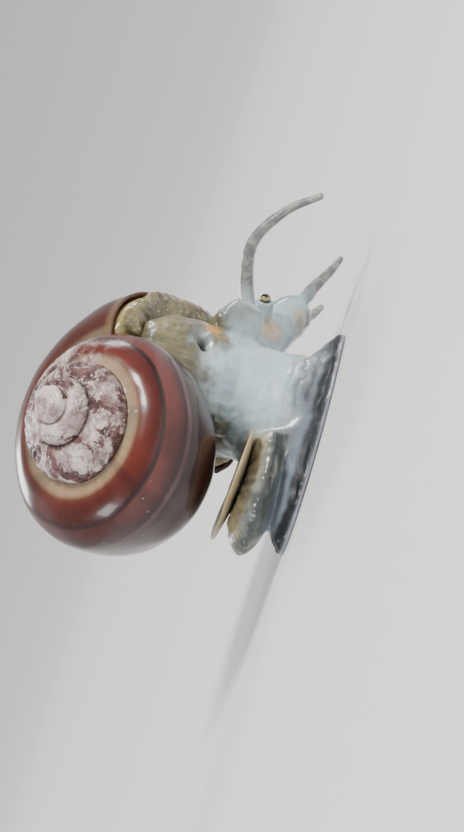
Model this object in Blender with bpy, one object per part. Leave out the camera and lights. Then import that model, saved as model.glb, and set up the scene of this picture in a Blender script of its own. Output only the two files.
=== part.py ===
# Apple snail, a living adult that stands on its foot, head out and tentacles spread.
# Metres, +Z up. +Y is the way it crawls and +X is its right side. The sole lies on z = 0.
import math

import bmesh
import bpy
import numpy as np
from mathutils import Matrix, Vector

MM = 0.001

# Driving sizes
SHELL_HEIGHT = 45.0 * MM
FOOT_LENGTH = 37.0 * MM
FOOT_WIDTH = 19.5 * MM
FOOT_CROWN = 6.4 * MM
GAP = 0.3 * MM
CUTTER_GAP = 0.34 * MM
SHARPEST_CORNER = 1.6
CURVE_STEPS = 16

# Shell: a whorl profile grows by WHORL_GROWTH each turn round an axis that points up to the right rear
WHORL_GROWTH = 1.8
WHORL_TURNS = 4.0
STEPS_PER_TURN = 44
SHELL_AXIS = Vector((0.58, -0.42, 0.70))
APEX = Vector((11.9, -16.7, 38.9)) * MM
LIP_RAISE = math.radians(20)
LIP_THICKNESS = 1.2 * MM
RECESS_DEPTH = 3.0 * MM
RECESS_TAPER = 0.85
APEX_WEAR = 1.3 * MM

# Points of one whorl, from the suture to the navel, as radius and drop over shell height
SUTURE = (0.275, 0.318)
SHOULDER = (0.375, 0.338)
UPPER_SIDE = (0.458, 0.412)
PERIPHERY = (0.497, 0.545)
LOWER_SIDE = (0.445, 0.760)
BASE = (0.290, 0.945)
BASE_TIP = (0.165, 1.000)
NAVEL_RIM = (0.060, 0.960)
NAVEL = (0.0, 0.880)
STEPS_ABOVE_SUTURE = 7
STEPS_BELOW_SUTURE = 9
FINE_POINTS = 600
FINE_SKIP = 8
MOUTH_POINTS = 48
CLEAR_SHARE = 0.97

# Flesh
COLLAR_DROP = 4.8 * MM
COLLAR_SHIFT = 2.8 * MM
SUTURE_END_STAND = 0.4
SUTURE_END_LENGTH = 16.0 * MM

# Collar rings: share of its drop below the mouth, scale, share of its shift toward the lip
COLLAR_RINGS = [(0.0, 1.0, 0.0), (0.12, 0.99, 0.25), (0.35, 0.96, 0.7), (0.65, 0.92, 1.0),
                (0.88, 0.84, 1.0), (1.0, 0.70, 0.9)]

# Foot, by shares of its length
RIM_HEIGHT = 0.9 * MM
RIM_BEVEL = 0.3 * MM
FOOT_SPLIT = 0.86
TAIL_SHARE = 0.55
TAIL_ROUNDNESS = 2.3
FRONT_SHARE = 0.20
FRONT_ROUNDNESS = 3.2
TAIL_WIDTH_SHARE = 0.93
FRONT_WIDENING = 0.10
FOOT_BULGE = 0.7 * MM
FOOT_TURN = 2.2 * MM
THINNEST_HALF = 0.4 * MM
CROWN_ROUNDNESS = 1.7
CROWN_AT_TAIL = 0.25
CROWN_RISE = 2.4
CROWN_AT_FRONT = 0.30
CROWN_FALL = 3.2
RIM_EDGE_SHARE = 0.45
CROWN_POINTS = 15
TAIL_END = 0.35
TAIL_RINGS = 12
MIDDLE_RINGS = 12
FRONT_RINGS = 8
FRONT_END = 0.998

# Feelers and eyes
TENTACLE_BASE = 1.05 * MM
TENTACLE_TIP = 0.32 * MM
PALP_BASE = 0.95 * MM
PALP_TIP = 0.3 * MM
TIP_REACH = 0.7
TIP_SHARE = 0.6
EYE_RADIUS = 0.8 * MM
EYE_STAND = 0.5 * MM
STALK_RADIUS = 1.15 * MM
STALK_ROOT_SHARE = 1.1
STALK_END_SHARE = 0.7
STALK_END_REACH = 0.35 * MM
OPERCULUM_LENGTH = 20.0 * MM
OPERCULUM_WIDTH = 13.0 * MM
OPERCULUM_THICKNESS = 1.1 * MM
OPERCULUM_BROAD_END = 0.18
OPERCULUM_DISH = 0.84 * MM
OPERCULUM_SIDES = 32
OPERCULUM_TILT = -0.06
OPERCULUM_PLACE = Vector((-0.8, -10.8, 9.3)) * MM

# Routes of the paired feelers and eye stalks, as distance to the side, shift, forward and up
TENTACLE_ROUTE = [(2.6, -0.1, 16.4, 12.6), (6.5, 0.0, 20.0, 15.4), (12.5, 0.0, 23.0, 16.6),
                  (17.5, 0.0, 26.0, 13.6), (21.5, 0.0, 27.0, 9.6)]
PALP_ROUTE = [(2.0, 1.0, 22.0, 7.2), (3.4, 1.2, 25.0, 6.2), (4.8, 1.4, 28.2, 4.4), (5.4, 1.6, 30.6, 3.4)]
STALK_ROUTE = [(3.4, -0.2, 15.4, 11.4), (7.4, -0.2, 17.6, 12.3)]

# Colours as red, green, blue
SHELL_COLOUR = (0.16, 0.045, 0.04)
FOOT_COLOUR = (0.14, 0.17, 0.20)
FLESH_COLOUR = (0.32, 0.35, 0.36)
COLLAR_COLOUR = (0.30, 0.28, 0.19)
HORN_COLOUR = (0.22, 0.17, 0.11)
EYE_COLOUR = (0.01, 0.01, 0.01)


def at(right, forward, up):
    """A place given in millimetres."""
    return Vector((right, forward, up)) * MM


def paired(route, sign):
    """The places of a route on the right (sign 1) or the left (sign -1)."""
    return [at(sign * side + shift, forward, up) for side, shift, forward, up in route]


def smooth_points(points, count):
    """Evenly spaced points on a smooth curve through the given ones."""
    points = [np.array(p, dtype=float) for p in points]
    ends = [2 * points[0] - points[1]] + points + [2 * points[-1] - points[-2]]
    dense = []
    for k in range(len(points) - 1):
        a, b, c, d = ends[k:k + 4]
        for t in np.linspace(0.0, 1.0, CURVE_STEPS, endpoint=False):
            dense.append(0.5 * (2 * b + (c - a) * t + (2 * a - 5 * b + 4 * c - d) * t ** 2
                                + (3 * b - 3 * c + d - a) * t ** 3))
    dense = np.array(dense + [points[-1]])
    walked = np.concatenate([[0.0], np.cumsum(np.linalg.norm(np.diff(dense, axis=0), axis=1))])
    wanted = np.linspace(0.0, walked[-1], count)
    return np.column_stack([np.interp(wanted, walked, dense[:, i]) for i in range(dense.shape[1])])


def surface(colour, roughness):
    """A Principled material for one node."""
    material = bpy.data.materials.new("surface")
    material.use_nodes = True
    shader = material.node_tree.nodes["Principled BSDF"]
    shader.inputs["Base Color"].default_value = (*colour, 1.0)
    shader.inputs["Roughness"].default_value = roughness
    shader.inputs["Metallic"].default_value = 0.0
    return material


def add_object(name, vertices, faces):
    """A mesh object with its normals turned outward."""
    mesh = bpy.data.meshes.new(name)
    mesh.from_pydata([tuple(v) for v in vertices], [], faces)
    work = bmesh.new()
    work.from_mesh(mesh)
    bmesh.ops.recalc_face_normals(work, faces=work.faces)
    work.to_mesh(mesh)
    work.free()
    node = bpy.data.objects.new(name, mesh)
    bpy.context.collection.objects.link(node)
    return node


def loft(name, rings):
    """A closed solid through rings of equal length, with a flat or fanned cap at each end."""
    size = len(rings[0])
    vertices = [p for ring in rings for p in ring]
    faces = []
    for k in range(len(rings) - 1):
        for j in range(size):
            following = (j + 1) % size
            faces.append((k * size + j, k * size + following,
                          (k + 1) * size + following, (k + 1) * size + j))
    for start in (0, (len(rings) - 1) * size):
        vertices.append(sum((Vector(vertices[start + j]) for j in range(size)), Vector()) / size)
        for j in range(size):
            faces.append((start + j, start + (j + 1) % size, len(vertices) - 1))
    return add_object(name, vertices, faces)


def ring_across(centre, forward, up, half_width, half_height, sides, square=2.0):
    """A rounded ring round a centre, across the way that it faces."""
    forward = Vector(forward).normalized()
    side = forward.cross(Vector(up)).normalized()
    top = side.cross(forward)
    ring = []
    for k in range(sides):
        c = math.cos(math.tau * k / sides)
        s = math.sin(math.tau * k / sides)
        x = math.copysign(abs(c) ** (2.0 / square), c) * half_width
        y = math.copysign(abs(s) ** (2.0 / square), s) * half_height
        ring.append(Vector(centre) + side * x + top * y)
    return ring


def body_through(name, stations, sides, square=2.0):
    """A rounded solid through stations of centre, half width and half height."""
    centres = [Vector(s[0]) for s in stations]
    rings = []
    for k, (centre, half_width, half_height) in enumerate(stations):
        ahead = centres[min(k + 1, len(centres) - 1)] - centres[max(k - 1, 0)]
        up = Vector((0, 1, 0)) if abs(ahead.normalized().z) > 0.75 else Vector((0, 0, 1))
        rings.append(ring_across(centre, ahead, up, half_width, half_height, sides, square))
    return loft(name, rings)


def tapered_tube(name, route, start_radius, end_radius, sides):
    """A round feeler along a route, with a rounded end."""
    route = [Vector(p) for p in route]
    last = len(route) - 1
    stations = []
    for k, point in enumerate(route):
        radius = start_radius + (end_radius - start_radius) * k / last
        stations.append((point, radius, radius))
    tip = route[-1] + (route[-1] - route[-2]).normalized() * end_radius * TIP_REACH
    stations.append((tip, end_radius * TIP_SHARE, end_radius * TIP_SHARE))
    return body_through(name, stations, sides)


def baked(node):
    """Turns the modifiers of a node into its mesh."""
    bpy.context.view_layer.update()
    evaluated = node.evaluated_get(bpy.context.evaluated_depsgraph_get())
    mesh = bpy.data.meshes.new_from_object(evaluated)
    node.modifiers.clear()
    node.data = mesh


def keep_largest(node):
    """Keeps only the largest closed surface of a node."""
    work = bmesh.new()
    work.from_mesh(node.data)
    unseen = set(work.verts)
    islands = []
    while unseen:
        island = set()
        waiting = [unseen.pop()]
        while waiting:
            vertex = waiting.pop()
            island.add(vertex)
            for edge in vertex.link_edges:
                other = edge.other_vert(vertex)
                if other in unseen:
                    unseen.remove(other)
                    waiting.append(other)
        islands.append(island)
    islands.sort(key=len)
    for island in islands[:-1]:
        bmesh.ops.delete(work, geom=list(island), context="VERTS")
    work.to_mesh(node.data)
    work.free()


def carve(node, cutter):
    """Cuts a closed mesh out of a node, and removes the cutter."""
    modifier = node.modifiers.new("carve", "BOOLEAN")
    modifier.operation = "DIFFERENCE"
    modifier.object = cutter
    baked(node)
    bpy.data.objects.remove(cutter)
    keep_largest(node)


def grown(node):
    """A copy of a node that is larger all round by the gap that cuts leave."""
    copy = node.copy()
    copy.data = node.data.copy()
    bpy.context.collection.objects.link(copy)
    work = bmesh.new()
    work.from_mesh(copy.data)
    work.normal_update()
    places = [v.co + v.normal * CUTTER_GAP * min(v.calc_shell_factor(), SHARPEST_CORNER) for v in work.verts]
    for vertex, place in zip(work.verts, places):
        vertex.co = place
    work.to_mesh(copy.data)
    work.free()
    return copy


def cut_clear(node, neighbours):
    """Cuts a node clear of its neighbours, by the gap that touching nodes keep."""
    for neighbour in neighbours:
        carve(node, grown(neighbour))


def whorl_profile():
    """Radius and drop of one whorl, and the index of the next whorl's suture on it."""
    upper = [SUTURE, SHOULDER, UPPER_SIDE, PERIPHERY, LOWER_SIDE, BASE, BASE_TIP, NAVEL_RIM, NAVEL]
    curve = smooth_points(upper, FINE_POINTS)
    next_suture = np.array(SUTURE) * WHORL_GROWTH
    meeting = int(np.argmin(np.linalg.norm(curve - next_suture, axis=1)))
    above = smooth_points(curve[:meeting + 1:FINE_SKIP], STEPS_ABOVE_SUTURE + 1)
    below = smooth_points(curve[meeting::FINE_SKIP], STEPS_BELOW_SUTURE + 1)
    above[0] = SUTURE
    above[-1] = next_suture
    below[-1] = NAVEL
    return np.vstack([above, below[1:]]) * SHELL_HEIGHT, STEPS_ABOVE_SUTURE


def shell_mesh():
    """Vertices and faces of the shell in its own frame: apex at zero, axis up, lip at +X."""
    profile, suture = whorl_profile()
    last = len(profile) - 1
    rows = int(WHORL_TURNS * STEPS_PER_TURN)
    vertices = []
    index = {}
    for row in range(rows, -1, -1):
        turns = row / STEPS_PER_TURN
        size = WHORL_GROWTH ** -turns
        bottom = last if row <= STEPS_PER_TURN else suture
        for j in range(bottom + 1):
            if j == 0 and row + STEPS_PER_TURN <= rows:
                index[row, 0] = index[row + STEPS_PER_TURN, suture]
                continue
            radius, drop = profile[j] * size
            angle = math.tau * turns
            index[row, j] = len(vertices)
            vertices.append((radius * math.cos(angle), radius * math.sin(angle), -drop))
    faces = []
    for row in range(rows):
        bottom = last if row < STEPS_PER_TURN else suture
        for j in range(bottom):
            faces.append((index[row, j], index[row, j + 1], index[row + 1, j + 1], index[row + 1, j]))
    mouth = [index[0, j] for j in range(last + 1)]
    mouth += [index[row, last] for row in range(1, STEPS_PER_TURN + 1)]
    mouth += [index[STEPS_PER_TURN, j] for j in range(last - 1, suture, -1)]
    faces.append(tuple(mouth))
    crown = [index[row, 0] for row in range(rows - STEPS_PER_TURN, rows + 1)]
    crown += [index[rows, j] for j in range(1, suture)]
    vertices.append((0.0, 0.0, -APEX_WEAR))
    for k in range(len(crown)):
        faces.append((crown[k], crown[(k + 1) % len(crown)], len(vertices) - 1))
    mouth_outline = [Vector((vertices[v][0], vertices[v][2])) for v in mouth]
    return vertices, faces, mouth_outline


def inset_outline(outline, distance):
    """A closed outline moved inward; points that would come too near another side drop out."""
    count = len(outline)
    area = sum(outline[k - 1].x * outline[k].y - outline[k].x * outline[k - 1].y for k in range(count))
    turn = math.copysign(1.0, area)
    kept = []
    for k in range(count):
        along = outline[(k + 1) % count] - outline[k - 1]
        inward = Vector((-along.y, along.x)).normalized() * turn
        point = outline[k] + inward * distance
        nearest = min(distance_to_side(point, outline[j - 1], outline[j]) for j in range(count))
        if nearest > distance * CLEAR_SHARE:
            kept.append(point)
    return kept


def distance_to_side(point, start, end):
    """Distance from a point to a straight side in the plane."""
    side = end - start
    if side.length_squared < 1e-16:
        return (point - start).length
    t = min(max((point - start).dot(side) / side.length_squared, 0.0), 1.0)
    return (point - start - side * t).length


def mouth_rings(outline, levels):
    """Rings in the shell's frame: the outline at given depths, scales and shifts from the axis."""
    middle = sum(outline, Vector((0, 0))) / len(outline)
    top = max(point.y for point in outline)
    rings = []
    for depth, scale, shift in levels:
        ring = []
        for point in outline:
            place = middle + (point - middle) * scale
            stand = 1.0
            if depth < 0.0:
                away = min(1.0, (top - point.y) / SUTURE_END_LENGTH)
                stand = SUTURE_END_STAND + (1.0 - SUTURE_END_STAND) * away
            ring.append(Vector((place.x + shift * stand, depth * stand, place.y)))
        rings.append(ring)
    return rings


def resampled(outline, count):
    """The same closed outline with evenly spaced points."""
    closed = np.array([tuple(p) for p in outline + outline[:1]])
    walked = np.concatenate([[0.0], np.cumsum(np.linalg.norm(np.diff(closed, axis=0), axis=1))])
    wanted = np.linspace(0.0, walked[-1], count, endpoint=False)
    return [Vector((np.interp(w, walked, closed[:, 0]), np.interp(w, walked, closed[:, 1]))) for w in wanted]


def shell_placement():
    """Where the shell's own frame stands: axis toward the apex, lip forward and raised, mouth down."""
    axis = SHELL_AXIS.normalized()
    down = (Vector((0, 0, -1)) + axis * axis.z).normalized()
    level = axis.cross(down)
    lip = level * math.cos(LIP_RAISE) - down * math.sin(LIP_RAISE)
    side = axis.cross(lip)
    turn = Matrix((lip, side, axis)).transposed().to_4x4()
    return Matrix.Translation(APEX) @ turn


def make_shell():
    """Shell with its mouth hollowed behind a thin lip, and the collar that fills the mouth."""
    vertices, faces, mouth = shell_mesh()
    shell = add_object("shell", vertices, faces)
    opening = resampled(inset_outline(mouth, LIP_THICKNESS), MOUTH_POINTS)
    flare = 1.0 + (1.0 - RECESS_TAPER) * MM / RECESS_DEPTH
    recess = loft("recess", mouth_rings(opening, [(-MM, flare, 0.0), (RECESS_DEPTH, RECESS_TAPER, 0.0)]))
    carve(shell, recess)
    plug = resampled(inset_outline(mouth, LIP_THICKNESS + GAP), MOUTH_POINTS)
    levels = [(RECESS_DEPTH - GAP, RECESS_TAPER, 0.0)]
    levels += [(-drop * COLLAR_DROP, scale, shift * COLLAR_SHIFT) for drop, scale, shift in COLLAR_RINGS]
    collar = loft("mantle_collar", mouth_rings(plug, levels))
    placement = shell_placement()
    shell.matrix_world = placement
    collar.data.transform(placement)
    return shell, collar


def foot_half_width(s):
    """Half width of the sole at a share of its length: tapered tail, broad front, round corners."""
    tail = (1.0 - max(0.0, 1.0 - s / TAIL_SHARE) ** TAIL_ROUNDNESS) ** 0.5
    front_way = max(0.0, (s - 1.0 + FRONT_SHARE) / FRONT_SHARE)
    front = (1.0 - front_way ** FRONT_ROUNDNESS) ** (1.0 / FRONT_ROUNDNESS)
    return 0.5 * FOOT_WIDTH * (TAIL_WIDTH_SHARE + FRONT_WIDENING * s) * tail * front


def foot_middle(s):
    """Middle line of the sole: its front turns a little to the left."""
    side = FOOT_BULGE * math.sin(math.pi * s) - FOOT_TURN * s ** 3
    return Vector((side, (s - 0.5) * FOOT_LENGTH, 0.0))


def foot_ring(s):
    """One slice of the foot: flat below, a thin rim, and a crowned back."""
    half = max(foot_half_width(s), THINNEST_HALF)
    crown = FOOT_CROWN * min(1.0, CROWN_AT_TAIL + CROWN_RISE * s, CROWN_AT_FRONT + CROWN_FALL * (1.0 - s))
    middle = foot_middle(s)
    ring = [middle + Vector((-(half - RIM_BEVEL), 0.0, 0.0))]
    for k, v in enumerate(np.linspace(-1.0, 1.0, CROWN_POINTS)):
        across = math.sin(v * math.pi / 2)
        rise = RIM_HEIGHT + (crown - RIM_HEIGHT) * max(0.0, 1.0 - abs(across) ** CROWN_ROUNDNESS)
        height = RIM_EDGE_SHARE * RIM_HEIGHT if k in (0, CROWN_POINTS - 1) else rise
        ring.append(middle + Vector((across * half, 0.0, height)))
    ring.append(middle + Vector((half - RIM_BEVEL, 0.0, 0.0)))
    return ring


def make_foot():
    """Foot and its front edge, parted by a thin cut."""
    tail = TAIL_END * (1.0 - np.cos(np.linspace(0.0, 1.0, TAIL_RINGS) * math.pi / 2))
    rear_shares = np.concatenate([tail[1:], np.linspace(TAIL_END, FOOT_SPLIT, MIDDLE_RINGS)[1:]])
    start = FOOT_SPLIT + GAP / FOOT_LENGTH
    front_shares = start + (FRONT_END - start) * np.sin(np.linspace(0.0, 1.0, FRONT_RINGS) * math.pi / 2)
    foot = loft("foot", [foot_ring(s) for s in rear_shares])
    front = loft("foot_front", [foot_ring(s) for s in front_shares])
    return foot, front


def make_neck():
    """The body stalk from the back of the foot up into the shell's mouth."""
    stations = [
        (at(0.6, 4.0, 2.6), 9.0 * MM, 8.6 * MM),
        (at(0.4, 4.1, 4.6), 8.7 * MM, 8.4 * MM),
        (at(0.2, 4.4, 7.0), 8.1 * MM, 8.0 * MM),
        (at(0.0, 4.8, 10.0), 7.8 * MM, 7.7 * MM),
        (at(-0.2, 4.8, 13.0), 8.2 * MM, 7.5 * MM),
        (at(-0.2, 4.2, 16.5), 9.0 * MM, 7.9 * MM),
        (at(0.2, 3.4, 20.5), 9.4 * MM, 8.6 * MM),
        (at(1.2, 2.4, 24.5), 8.6 * MM, 8.8 * MM),
        (at(2.6, 1.2, 28.5), 6.6 * MM, 7.8 * MM),
    ]
    return body_through("neck", stations, 28, 2.3)


def make_head():
    """Head and snout in one run, parted by a thin cut, with a mouth slit below."""
    stations = [
        (at(-1.6, 8.0, 12.0), 5.6 * MM, 4.8 * MM),
        (at(-1.0, 11.5, 12.4), 5.7 * MM, 4.8 * MM),
        (at(-0.4, 14.5, 12.0), 5.3 * MM, 4.4 * MM),
        (at(0.1, 17.0, 11.0), 4.5 * MM, 3.8 * MM),
    ]
    split = (at(0.4, 18.8, 10.0), 3.9 * MM, 3.4 * MM)
    snout_stations = [
        (at(0.42, 19.06, 9.85), 3.85 * MM, 3.35 * MM),
        (at(0.7, 20.6, 8.9), 3.6 * MM, 3.0 * MM),
        (at(1.0, 22.2, 7.7), 3.6 * MM, 2.8 * MM),
        (at(1.2, 23.3, 6.8), 3.1 * MM, 2.3 * MM),
        (at(1.3, 23.9, 6.3), 2.0 * MM, 1.4 * MM),
    ]
    head = body_through("head", stations + [split], 24, 2.2)
    snout = body_through("snout", snout_stations, 24, 2.4)
    slit = body_through("slit", [(at(1.1, 22.6, 5.6), 0.35 * MM, 1.3 * MM),
                                 (at(1.4, 25.0, 5.4), 0.35 * MM, 1.3 * MM)], 12)
    carve(snout, slit)
    return head, snout


def make_feeler(name, points, count, start_radius, end_radius, pieces, sides):
    """A feeler in a few lengths that meet end to end with the thin gap."""
    route = [Vector(p) for p in smooth_points(points, count * pieces + 1)]
    made = []
    for piece in range(pieces):
        part = route[piece * count:(piece + 1) * count + 1]
        if piece:
            part[0] = part[0] + (part[1] - part[0]).normalized() * GAP * 1.05
        first = start_radius + (end_radius - start_radius) * piece / pieces
        then = start_radius + (end_radius - start_radius) * (piece + 1) / pieces
        title = name if pieces == 1 else f"{name}_{piece + 1}"
        if piece < pieces - 1:
            stations = [(p, first + (then - first) * k / count) for k, p in enumerate(part)]
            made.append(body_through(title, [(p, r, r) for p, r in stations], sides))
        else:
            made.append(tapered_tube(title, part, first, then, sides))
    return made


def make_eye(side, root, end):
    """A short stalk and the eye set in its end."""
    away = (end - root).normalized()
    steps = [(root, STALK_ROOT_SHARE), (end, 1.0), (end + away * STALK_END_REACH, STALK_END_SHARE)]
    stations = [(place, STALK_RADIUS * share, STALK_RADIUS * share) for place, share in steps]
    stalk = body_through(f"eye_stalk_{side}", stations, 16)
    rings = []
    for k in range(1, 8):
        lift = math.pi * k / 8 - math.pi / 2
        rings.append(ring_across(end + away * (EYE_STAND + EYE_RADIUS * math.sin(lift)), away, (0, 0, 1),
                                 EYE_RADIUS * math.cos(lift), EYE_RADIUS * math.cos(lift), 14))
    eye = loft(f"eye_{side}", rings)
    cut_clear(stalk, [eye])
    return stalk, eye


def make_operculum():
    """A thin horny plate with growth rings, carried on the back of the foot."""
    rings = []
    for share, lift in ((0.3, 0.1), (0.6, 0.3), (0.85, 0.6), (1.0, 1.0)):
        ring = []
        for k in range(OPERCULUM_SIDES):
            angle = math.tau * k / OPERCULUM_SIDES
            x = 0.5 * OPERCULUM_LENGTH * math.cos(angle)
            y = 0.5 * OPERCULUM_WIDTH * math.sin(angle) * (1.0 + OPERCULUM_BROAD_END * math.cos(angle))
            ring.append(Vector((x * share, y * share, lift * OPERCULUM_DISH)))
        rings.append(ring)
    under = [[p - Vector((0, 0, OPERCULUM_THICKNESS)) for p in ring] for ring in rings]
    plate = loft("operculum", [*rings, *reversed(under)])
    plate.data.transform(Matrix.Translation(OPERCULUM_PLACE) @ Matrix.Rotation(OPERCULUM_TILT, 4, "X"))
    return plate


def make_lobe():
    """The fleshy pad that carries the operculum."""
    stations = [
        (at(-0.6, -18.4, 5.4), 1.8 * MM, 0.6 * MM),
        (at(-0.8, -17.2, 5.5), 4.8 * MM, 1.9 * MM),
        (at(-1.0, -14.6, 5.8), 7.6 * MM, 2.8 * MM),
        (at(-1.0, -11.0, 6.0), 9.0 * MM, 3.2 * MM),
        (at(-0.8, -7.0, 6.2), 9.0 * MM, 3.2 * MM),
        (at(-0.4, -3.5, 6.3), 8.0 * MM, 3.0 * MM),
    ]
    return body_through("opercular_lobe", stations, 28, 1.5)


def make_siphon():
    """The breathing fold on the left, a short open funnel."""
    stations = [
        (at(-6.0, 8.0, 9.6), 3.2 * MM, 3.0 * MM),
        (at(-8.2, 11.6, 9.4), 3.1 * MM, 2.8 * MM),
        (at(-10.0, 14.6, 9.6), 2.8 * MM, 2.5 * MM),
        (at(-11.4, 17.0, 10.2), 2.7 * MM, 2.3 * MM),
    ]
    siphon = body_through("siphon", stations, 18, 2.3)
    hollow = body_through("hollow", [(at(-9.7, 14.2, 9.6), 1.4 * MM, 1.2 * MM),
                                     (at(-11.8, 17.7, 10.4), 2.0 * MM, 1.6 * MM)], 14)
    carve(siphon, hollow)
    return siphon


def make_right_lobe():
    """The smaller fold on the right of the neck."""
    stations = [
        (at(3.0, 9.0, 16.0), 1.4 * MM, 3.2 * MM),
        (at(6.0, 11.0, 15.4), 1.3 * MM, 3.4 * MM),
        (at(8.6, 12.4, 14.8), 1.1 * MM, 3.0 * MM),
        (at(10.2, 13.2, 14.4), 0.8 * MM, 1.9 * MM),
    ]
    return body_through("right_lobe", stations, 18)


def finish(node, colour, roughness, parent):
    """Gives a node its material, its own origin and its parent."""
    node.data.materials.clear()
    node.data.materials.append(surface(colour, roughness))
    if node.matrix_world == Matrix.Identity(4):
        corners = [Vector(c) for c in node.bound_box]
        middle = sum(corners, Vector()) / 8
        node.data.transform(Matrix.Translation(-middle))
        node.location = middle
    node.parent = parent


def main():
    for old in list(bpy.data.objects):
        bpy.data.objects.remove(old)
    snail = bpy.data.objects.new("snail", None)
    bpy.context.collection.objects.link(snail)

    shell, collar = make_shell()
    foot, foot_front = make_foot()
    neck = make_neck()
    head, snout = make_head()
    plate = make_operculum()
    lobe = make_lobe()
    siphon = make_siphon()
    right_lobe = make_right_lobe()
    bpy.context.view_layer.update()

    flesh = [neck, head, snout, lobe, siphon, right_lobe]
    eyes = []
    for side, sign in (("left", -1.0), ("right", 1.0)):
        tentacle = paired(TENTACLE_ROUTE, sign)
        pieces = make_feeler(f"tentacle_{side}", tentacle, 6, TENTACLE_BASE, TENTACLE_TIP, 3, 12)
        palp = paired(PALP_ROUTE, sign)
        palp_pieces = make_feeler(f"labial_palp_{side}", palp, 8, PALP_BASE, PALP_TIP, 1, 12)
        stalk, eye = make_eye(side, *paired(STALK_ROUTE, sign))
        cut_clear(stalk, [head, pieces[0]])
        cut_clear(pieces[0], [head])
        cut_clear(palp_pieces[0], [snout])
        flesh += [*pieces, *palp_pieces, stalk]
        eyes.append(eye)

    # Each node is cut by neighbours that are still whole, from the outermost inward
    cut_clear(right_lobe, [head, neck, collar, shell])
    cut_clear(siphon, [head, neck, collar, shell])
    cut_clear(lobe, [plate, neck, foot])
    cut_clear(head, [neck, collar, shell])
    cut_clear(neck, [foot, collar, shell])
    cut_clear(collar, [shell])

    finish(shell, SHELL_COLOUR, 0.35, snail)
    finish(collar, COLLAR_COLOUR, 0.4, snail)
    finish(plate, HORN_COLOUR, 0.5, snail)
    for node in (foot, foot_front):
        finish(node, FOOT_COLOUR, 0.35, snail)
    for node in flesh:
        finish(node, FLESH_COLOUR, 0.35, snail)
    for node in eyes:
        finish(node, EYE_COLOUR, 0.1, snail)


main()
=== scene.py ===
# Apple snail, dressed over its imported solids: shell, one skin, mantle collar, horny plate and eyes.
import math

import bmesh
import bpy
import numpy as np
from mathutils import Matrix, Vector, noise
from mathutils.bvhtree import BVHTree


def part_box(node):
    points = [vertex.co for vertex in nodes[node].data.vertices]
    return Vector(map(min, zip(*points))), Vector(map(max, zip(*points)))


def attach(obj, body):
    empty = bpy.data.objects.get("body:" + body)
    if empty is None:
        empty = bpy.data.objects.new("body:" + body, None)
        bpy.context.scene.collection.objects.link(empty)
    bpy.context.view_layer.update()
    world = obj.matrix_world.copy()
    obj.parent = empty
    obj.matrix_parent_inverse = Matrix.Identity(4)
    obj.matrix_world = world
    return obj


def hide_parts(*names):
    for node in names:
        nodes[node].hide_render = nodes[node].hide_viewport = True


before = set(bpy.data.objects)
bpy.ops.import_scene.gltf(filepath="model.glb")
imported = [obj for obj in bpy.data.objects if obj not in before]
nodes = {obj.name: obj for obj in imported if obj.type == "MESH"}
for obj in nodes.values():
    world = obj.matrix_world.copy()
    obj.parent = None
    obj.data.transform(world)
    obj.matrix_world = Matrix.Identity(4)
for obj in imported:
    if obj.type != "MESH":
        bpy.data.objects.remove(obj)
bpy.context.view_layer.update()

MM = 0.001

# Camera: level, turned on its side so that the sole leans in the picture as it does in the photograph
CAMERA_AZIMUTH = 48.0
CAMERA_ELEVATION = 3.0
CAMERA_ROLL = 72.0
CAMERA_DISTANCE = 0.6
CAMERA_AIM = Vector((0.6, 0.9, 12.1)) * MM
CAMERA_NEAR = 0.02
CAMERA_FAR = 20.0
VIEW_HEIGHT = 0.117
SENSOR = 36.0

# Floor: flat out to a radius, then bent up into a wall
FLOOR_INNER = 0.3
FLOOR_FLAT = 0.8
FLOOR_BEND = 0.7
FLOOR_TOP = 1.6
FLOOR_BEND_STEPS = 12
FLOOR_AROUND = 96
FLOOR_ROUGHNESS = 0.75

# Lights: name, place, size, power and colour of each
LIGHTS = [("key", (0.60, -0.05, 0.70), 0.25, 11.0, (1.0, 0.97, 0.93)),
          ("fill", (-0.20, -0.80, 0.40), 0.30, 3.0, (0.93, 0.96, 1.0)),
          ("front", (0.25, 0.85, 0.50), 0.30, 4.0, (1.0, 1.0, 1.0)),
          ("rim", (-0.70, 0.30, 0.60), 0.30, 4.0, (1.0, 1.0, 1.0))]
LIGHT_AIM = Vector((0, 0, 0.02))
SKY_COLOUR = (0.92, 0.95, 1.0, 1.0)
SKY_STRENGTH = 0.46

# Shell values, the same as those of the solids
SHELL_HEIGHT = 45.0 * MM
WHORL_GROWTH = 1.8
WHORL_TURNS = 4.0
SHELL_AXIS = Vector((0.58, -0.42, 0.70))
APEX = Vector((11.9, -16.7, 38.9)) * MM
LIP_RAISE = math.radians(20)
APEX_WEAR = 1.3 * MM
WHORL_POINTS = [(0.275, 0.318), (0.375, 0.338), (0.458, 0.412), (0.497, 0.545), (0.445, 0.760),
                (0.290, 0.945), (0.165, 1.000), (0.060, 0.960), (0.0, 0.880)]

# Fineness of the shell's mesh
STEPS_PER_TURN = 176
STEPS_ABOVE_SUTURE = 30
STEPS_BELOW_SUTURE = 36
CURVE_STEPS = 16
PROFILE_POINTS = 600
PROFILE_STRIDE = 8
SHARP_ANGLE = math.radians(50)

# Rings of the mouth: depth behind the lip and inset from its outline in millimetres, and size
MOUTH_RINGS = [(-0.08, 0.16, 1.0), (-0.02, 0.42, 1.0), (0.5, 0.75, 1.0), (1.3, 1.0, 1.0),
               (2.2, 1.15, 0.94), (3.2, 1.2, 0.85)]
INSET_SLACK = 0.97

# Marks of the shell's faces: turns back from the lip and share of the profile
MOUTH_MARK = (-1.0, 0.5)
CROWN_MARK = (WHORL_TURNS, 0.1)

# Relief of the shell in millimetres
SWELL_DEPTH = 0.05
DENT_DEPTH = 0.16
WORN_DEPTH = 0.50
GRAIN_DEPTH = 0.10

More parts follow.
